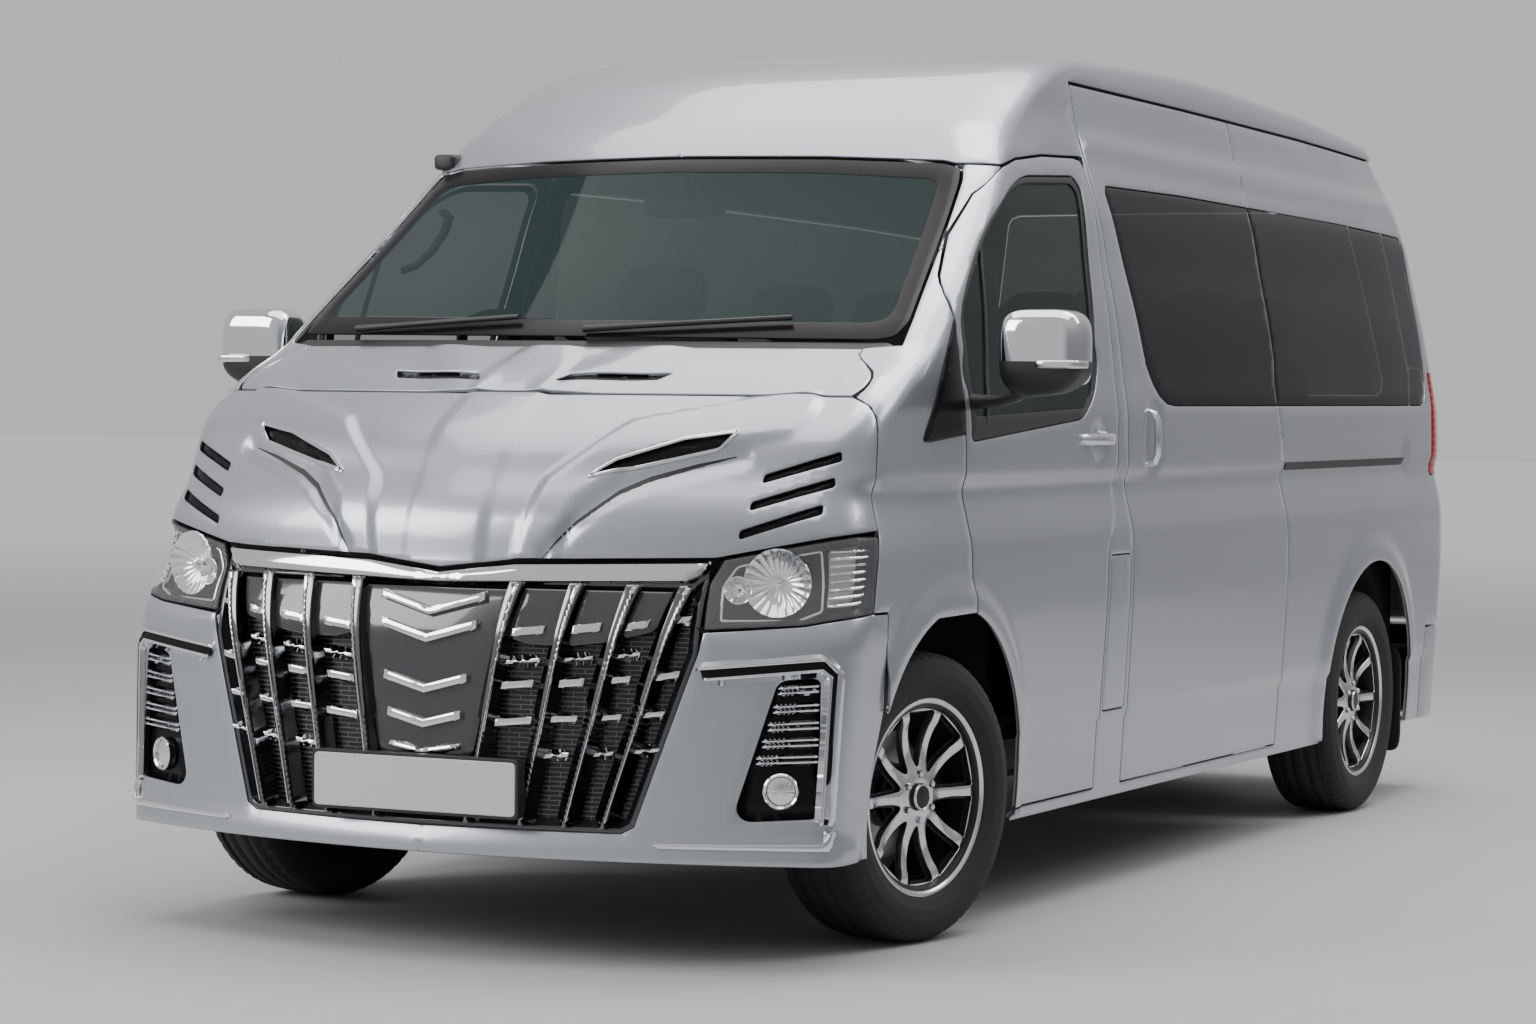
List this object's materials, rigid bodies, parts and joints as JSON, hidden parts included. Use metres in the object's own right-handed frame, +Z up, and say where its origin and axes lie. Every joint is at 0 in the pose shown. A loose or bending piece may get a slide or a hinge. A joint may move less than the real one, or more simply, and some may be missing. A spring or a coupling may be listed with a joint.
{
  "type": "passenger van",
  "caption": "High-roof passenger van with hollow body, opening doors, bonnet, tailgate and fuel lid, steered front wheels, benches and full chassis.",
  "frame": {"origin": "on the ground under the middle of the length and width", "axes": "+X to the vehicle's left, +Y to its rear, +Z up"},
  "size_m": [2.39, 4.9846, 2.2033],
  "materials": {
    "paint": "silver metallic",
    "chrome": "polished",
    "black": "satin black",
    "glass": "tinted",
    "lamp": "clear lens over bright reflectors",
    "red": "red lens",
    "tyre": "black",
    "alloy": "machined and grey",
    "steel": "black chassis paint",
    "cloth": "woven",
    "trim": "grained grey",
    "iron": "as cast"
  },
  "bodies": {
    "body": {"bench_front": "cloth", "bench_middle": "cloth", "bench_rear": "cloth", "chassis_frame": "steel", "chrome_bar": "chrome", "cowl": "black", "dashboard": "trim", "engine": "iron", "exhaust": "steel", "fender_left": "paint", "fender_right": "paint", "floor_pan": "steel", "front_axle": "steel", "front_bumper": "paint", "fuel_tank": "steel", "grille": "black", "headlamp_left": "lamp", "headlamp_right": "lamp", "rear_axle": "steel", "rear_bumper": "paint", "roof": "paint", "seat_driver": "cloth", "seat_passenger": "cloth", "side_glass_left": "glass", "side_glass_right": "glass", "side_left": "paint", "side_right": "paint", "sliding_door": "paint", "sliding_door_glass": "glass", "spare_wheel": "tyre", "tail_lamp_left": "red", "tail_lamp_right": "red", "vent_left": "black", "vent_right": "black", "windscreen": "glass"},
    "knuckle_left": {"knuckle_left": "iron"},
    "knuckle_right": {"knuckle_right": "iron"},
    "door_left": {"door_left": "paint", "door_glass_left": "glass", "mirror_left": "chrome"},
    "door_right": {"door_right": "paint", "door_glass_right": "glass", "mirror_right": "chrome"},
    "bonnet": {"bonnet": "paint"},
    "tailgate": {"tailgate": "paint", "tailgate_glass": "glass"},
    "fuel_lid": {"fuel_lid": "paint"},
    "steering_wheel": {"steering_wheel": "black"},
    "wheel_front_left": {"tyre_front_left": "tyre", "rim_front_left": "alloy"},
    "wheel_front_right": {"tyre_front_right": "tyre", "rim_front_right": "alloy"},
    "wheel_rear_left": {"tyre_rear_left": "tyre", "rim_rear_left": "alloy"},
    "wheel_rear_right": {"tyre_rear_right": "tyre", "rim_rear_right": "alloy"}
  },
  "joints": [
    {"name": "steer_left", "type": "hinge", "parent": "body", "child": "knuckle_left", "pos_m": [0.735, -1.6375, 0.34], "axis": [0, 0, 1], "range_deg": [-23.2, 46.8]},
    {"name": "steer_right", "type": "hinge", "parent": "body", "child": "knuckle_right", "pos_m": [-0.735, -1.6375, 0.34], "axis": [0, 0, 1], "range_deg": [-23.2, 46.8]},
    {"name": "steering_wheel_turn", "type": "hinge", "parent": "body", "child": "steering_wheel", "pos_m": [-0.43, -1.2475, 1.36], "axis": [0, 0.5736, 0.8192], "range_deg": [-395, 796]},
    {"name": "wheel_front_left_spin", "type": "hinge", "parent": "knuckle_left", "child": "wheel_front_left", "pos_m": [0.79863, -1.65079, 0.34], "axis": [0.9789, -0.2045, 0], "continuous": true},
    {"name": "wheel_front_right_spin", "type": "hinge", "parent": "knuckle_right", "child": "wheel_front_right", "pos_m": [-0.79863, -1.62421, 0.34], "axis": [0.9789, -0.2045, 0], "continuous": true},
    {"name": "wheel_rear_left_spin", "type": "hinge", "parent": "body", "child": "wheel_rear_left", "pos_m": [0.8, 1.6095, 0.34], "axis": [1, 0, 0], "continuous": true},
    {"name": "wheel_rear_right_spin", "type": "hinge", "parent": "body", "child": "wheel_rear_right", "pos_m": [-0.8, 1.6095, 0.34], "axis": [1, 0, 0], "continuous": true},
    {"name": "door_left_open", "type": "hinge", "parent": "body", "child": "door_left", "pos_m": [0.933, -1.5175, 1], "axis": [-0.0549, 0, 0.9985], "range_deg": [-65, 0]},
    {"name": "door_right_open", "type": "hinge", "parent": "body", "child": "door_right", "pos_m": [-0.933, -1.5175, 1], "axis": [0.0549, 0, 0.9985], "range_deg": [0, 65]},
    {"name": "bonnet_open", "type": "hinge", "parent": "body", "child": "bonnet", "pos_m": [0, -1.7275, 1.386], "axis": [1, 0, 0], "range_deg": [-50, 0]},
    {"name": "tailgate_open", "type": "hinge", "parent": "body", "child": "tailgate", "pos_m": [0, 2.3175, 1.99], "axis": [1, 0, 0], "range_deg": [0, 85]},
    {"name": "fuel_lid_open", "type": "hinge", "parent": "body", "child": "fuel_lid", "pos_m": [0.942, -0.4905, 0.67], "axis": [0, 0, 1], "range_deg": [0, 95]}
  ],
  "couplings": [
    {"joint": "steer_right", "follows": "steer_left", "ratio": 1},
    {"joint": "steering_wheel_turn", "follows": "steer_left", "ratio": 17}
  ]
}
